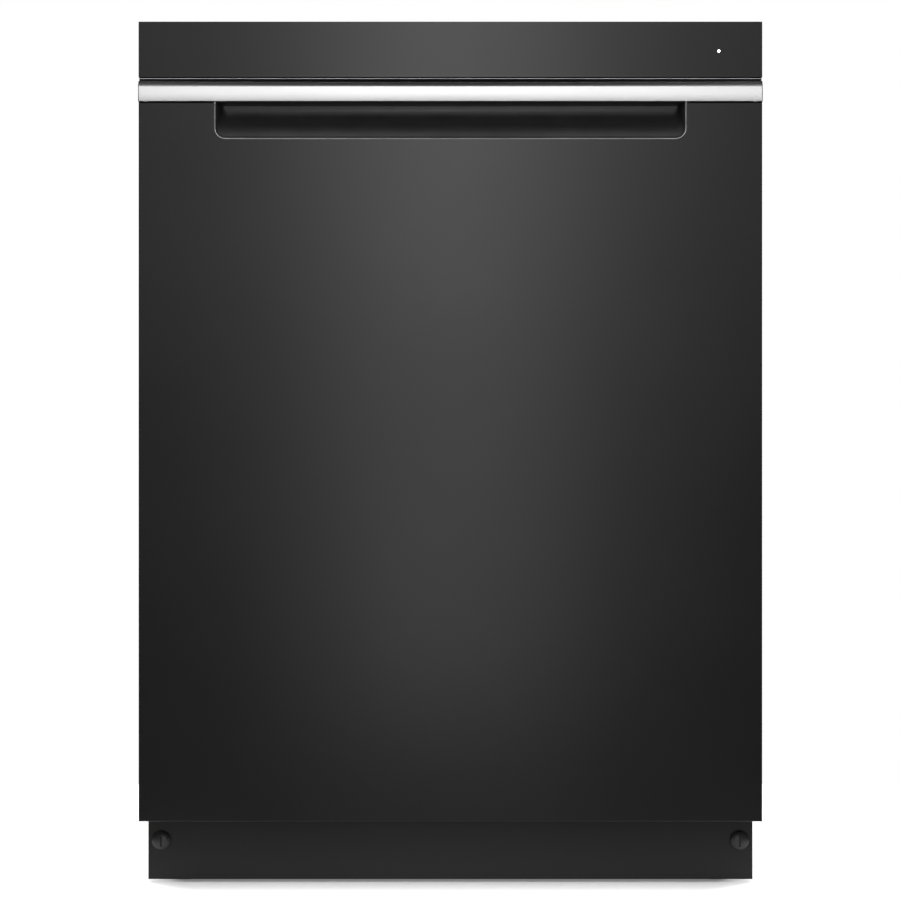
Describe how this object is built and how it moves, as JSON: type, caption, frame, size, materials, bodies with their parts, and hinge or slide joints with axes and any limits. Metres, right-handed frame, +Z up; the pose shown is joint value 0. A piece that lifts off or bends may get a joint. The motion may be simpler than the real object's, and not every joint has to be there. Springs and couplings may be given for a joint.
{
  "type": "built-in dishwasher",
  "caption": "Built-in dishwasher with a black door that drops open, a pocket handle under a satin steel strip, pull-out racks, spray arms, sump and base.",
  "frame": {"origin": "middle of the footprint's bounding box, on the floor", "axes": "+Z up, -Y out of the front, +X to the right of someone facing the door"},
  "size_m": [0.606, 0.622, 0.845],
  "materials": {
    "door_black": "black enamelled steel, smooth satin",
    "kick_black": "black powder-coated steel",
    "console_gloss": "glossy black plastic",
    "handle_steel": "satin stainless steel, brushed along its length",
    "tub_steel": "bright annealed stainless steel",
    "plated_steel": "zinc-plated steel",
    "black_plastic": "moulded black polypropylene",
    "grey_plastic": "moulded grey polypropylene",
    "rack_nylon": "nylon-coated steel wire",
    "seal_rubber": "black rubber",
    "blanket_felt": "dark needled sound blanket",
    "lens": "clear light guide, lit white"
  },
  "bodies": {
    "root": {"toe_kick_panel": "kick_black", "tub": "tub_steel", "filter_plate": "tub_steel", "upper_track_left": "tub_steel", "upper_track_right": "tub_steel", "hinge_pin_left": "plated_steel", "hinge_pin_right": "plated_steel", "strike_plate": "plated_steel", "mounting_bracket_left": "plated_steel", "mounting_bracket_right": "plated_steel", "door_spring_left": "plated_steel", "door_spring_right": "plated_steel", "heating_element": "plated_steel", "junction_box": "plated_steel", "base_frame": "black_plastic", "sump": "black_plastic", "feed_tube": "grey_plastic", "circulation_pump": "grey_plastic", "drain_pump": "grey_plastic", "inlet_valve": "grey_plastic", "tub_gasket": "seal_rubber", "insulation_blanket": "blanket_felt"},
    "door": {"door_outer_panel": "door_black", "door_inner_panel": "tub_steel", "console_panel": "console_gloss", "control_strip": "black_plastic", "handle_trim": "handle_steel", "handle_pocket": "black_plastic", "status_light": "lens", "latch": "black_plastic", "dispenser_body": "grey_plastic", "hinge_arm_left": "plated_steel", "hinge_arm_right": "plated_steel"},
    "dispenser_lid": {"dispenser_lid": "grey_plastic"},
    "rinse_aid_cap": {"rinse_aid_cap": "grey_plastic"},
    "upper_rack": {"upper_rack": "rack_nylon"},
    "upper_rails": {"upper_rail_left": "tub_steel", "upper_rail_right": "tub_steel"},
    "middle_spray_arm": {"middle_spray_arm": "grey_plastic"},
    "cup_shelf": {"cup_shelf": "rack_nylon"},
    "lower_rack": {"lower_rack": "rack_nylon"},
    "silverware_basket": {"silverware_basket": "grey_plastic"},
    "lower_spray_arm": {"lower_spray_arm": "grey_plastic"},
    "top_spray_arm": {"top_spray_arm": "grey_plastic"},
    "filter_cup": {"filter_cup": "grey_plastic"},
    "float": {"float": "grey_plastic"},
    "button_power": {"button_power": "console_gloss"},
    "button_cycle": {"button_cycle": "console_gloss"},
    "button_options": {"button_options": "console_gloss"},
    "button_start": {"button_start": "console_gloss"},
    "rack_wheel_front_left": {"rack_wheel_front_left": "grey_plastic"},
    "leg_front_left": {"leg_front_left": "black_plastic"},
    "rack_wheel_front_right": {"rack_wheel_front_right": "grey_plastic"},
    "leg_front_right": {"leg_front_right": "black_plastic"},
    "rack_wheel_rear_left": {"rack_wheel_rear_left": "grey_plastic"},
    "leg_rear_left": {"leg_rear_left": "black_plastic"},
    "rack_wheel_rear_right": {"rack_wheel_rear_right": "grey_plastic"},
    "leg_rear_right": {"leg_rear_right": "black_plastic"},
    "toe_kick_screw_left": {"toe_kick_screw_left": "black_plastic"},
    "toe_kick_screw_right": {"toe_kick_screw_right": "black_plastic"}
  },
  "joints": [
    {"name": "door_hinge", "type": "hinge", "parent": "root", "child": "door", "pos_m": [0, -0.274, 0.098], "axis": [1, 0, 0], "range_deg": [0, 90], "stiffness_Nm_per_rad": 22},
    {"name": "upper_rack_slide", "type": "slide", "parent": "root", "child": "upper_rack", "axis": [0, -1, 0], "range_m": [0, 0.45]},
    {"name": "upper_rail_slide", "type": "slide", "parent": "root", "child": "upper_rails", "axis": [0, -1, 0], "range_m": [0, 0.225]},
    {"name": "lower_rack_slide", "type": "slide", "parent": "root", "child": "lower_rack", "axis": [0, -1, 0], "range_m": [0, 0.5]},
    {"name": "middle_arm_spin", "type": "hinge", "parent": "upper_rack", "child": "middle_spray_arm", "pos_m": [0, 0.03, 0.457], "axis": [0, 0, 1], "continuous": true},
    {"name": "lower_arm_spin", "type": "hinge", "parent": "root", "child": "lower_spray_arm", "pos_m": [0, 0.03, 0.1262], "axis": [0, 0, 1], "continuous": true},
    {"name": "top_arm_spin", "type": "hinge", "parent": "root", "child": "top_spray_arm", "pos_m": [0, 0.03, 0.776], "axis": [0, 0, 1], "continuous": true},
    {"name": "cup_shelf_fold", "type": "hinge", "parent": "upper_rack", "child": "cup_shelf", "pos_m": [-0.243, 0, 0.586], "axis": [0, -1, 0], "range_deg": [0, 85]},
    {"name": "basket_lift", "type": "slide", "parent": "lower_rack", "child": "silverware_basket", "axis": [0, 0, 1], "range_m": [0, 0.12]},
    {"name": "filter_twist", "type": "hinge", "parent": "root", "child": "filter_cup", "pos_m": [0, -0.065, 0.1203], "axis": [0, 0, 1], "range_deg": [0, 90]},
    {"name": "float_rise", "type": "slide", "parent": "root", "child": "float", "axis": [0, 0, 1], "range_m": [0, 0.01]},
    {"name": "dispenser_lid_slide", "type": "slide", "parent": "door", "child": "dispenser_lid", "axis": [0, 0, -1], "range_m": [0, 0.075]},
    {"name": "rinse_aid_cap_twist", "type": "hinge", "parent": "door", "child": "rinse_aid_cap", "pos_m": [0.045, -0.2575, 0.53], "axis": [0, 1, 0], "range_deg": [0, 90]},
    {"name": "wheel_front_left_roll", "type": "hinge", "parent": "lower_rack", "child": "rack_wheel_front_left", "pos_m": [-0.256, -0.16, 0.135], "axis": [1, 0, 0], "range_deg": [0, 1600]},
    {"name": "wheel_front_right_roll", "type": "hinge", "parent": "lower_rack", "child": "rack_wheel_front_right", "pos_m": [0.256, -0.16, 0.135], "axis": [1, 0, 0], "range_deg": [0, 1600]},
    {"name": "wheel_rear_left_roll", "type": "hinge", "parent": "lower_rack", "child": "rack_wheel_rear_left", "pos_m": [-0.256, 0.16, 0.135], "axis": [1, 0, 0], "range_deg": [0, 1600]},
    {"name": "wheel_rear_right_roll", "type": "hinge", "parent": "lower_rack", "child": "rack_wheel_rear_right", "pos_m": [0.256, 0.16, 0.135], "axis": [1, 0, 0], "range_deg": [0, 1600]},
    {"name": "leg_front_left_turn", "type": "hinge", "parent": "root", "child": "leg_front_left", "pos_m": [-0.265, -0.2, 0], "axis": [0, 0, 1], "continuous": true},
    {"name": "leg_front_right_turn", "type": "hinge", "parent": "root", "child": "leg_front_right", "pos_m": [0.265, -0.2, 0], "axis": [0, 0, 1], "continuous": true},
    {"name": "leg_rear_left_turn", "type": "hinge", "parent": "root", "child": "leg_rear_left", "pos_m": [-0.265, 0.275, 0], "axis": [0, 0, 1], "continuous": true},
    {"name": "leg_rear_right_turn", "type": "hinge", "parent": "root", "child": "leg_rear_right", "pos_m": [0.265, 0.275, 0], "axis": [0, 0, 1], "continuous": true},
    {"name": "toe_kick_screw_left_turn", "type": "hinge", "parent": "root", "child": "toe_kick_screw_left", "pos_m": [-0.287, -0.239, 0.0416], "axis": [0, 1, 0], "range_deg": [0, 90]},
    {"name": "toe_kick_screw_right_turn", "type": "hinge", "parent": "root", "child": "toe_kick_screw_right", "pos_m": [0.287, -0.239, 0.0416], "axis": [0, 1, 0], "range_deg": [0, 90]},
    {"name": "button_power_press", "type": "slide", "parent": "door", "child": "button_power", "axis": [0, 0, -1], "range_m": [0, 0.0012], "stiffness_N_per_m": 600},
    {"name": "button_cycle_press", "type": "slide", "parent": "door", "child": "button_cycle", "axis": [0, 0, -1], "range_m": [0, 0.0012], "stiffness_N_per_m": 600},
    {"name": "button_options_press", "type": "slide", "parent": "door", "child": "button_options", "axis": [0, 0, -1], "range_m": [0, 0.0012], "stiffness_N_per_m": 600},
    {"name": "button_start_press", "type": "slide", "parent": "door", "child": "button_start", "axis": [0, 0, -1], "range_m": [0, 0.0012], "stiffness_N_per_m": 600}
  ],
  "couplings": [
    {"joint": "upper_rack_slide", "follows": "door_hinge", "m_per_rad": 0.28},
    {"joint": "upper_rail_slide", "follows": "door_hinge", "m_per_rad": 0.14},
    {"joint": "lower_rack_slide", "follows": "door_hinge", "m_per_rad": 0.078},
    {"joint": "wheel_front_left_roll", "follows": "door_hinge", "ratio": 4.3333},
    {"joint": "wheel_front_right_roll", "follows": "door_hinge", "ratio": 4.3333},
    {"joint": "wheel_rear_left_roll", "follows": "door_hinge", "ratio": 4.3333},
    {"joint": "wheel_rear_right_roll", "follows": "door_hinge", "ratio": 4.3333}
  ]
}
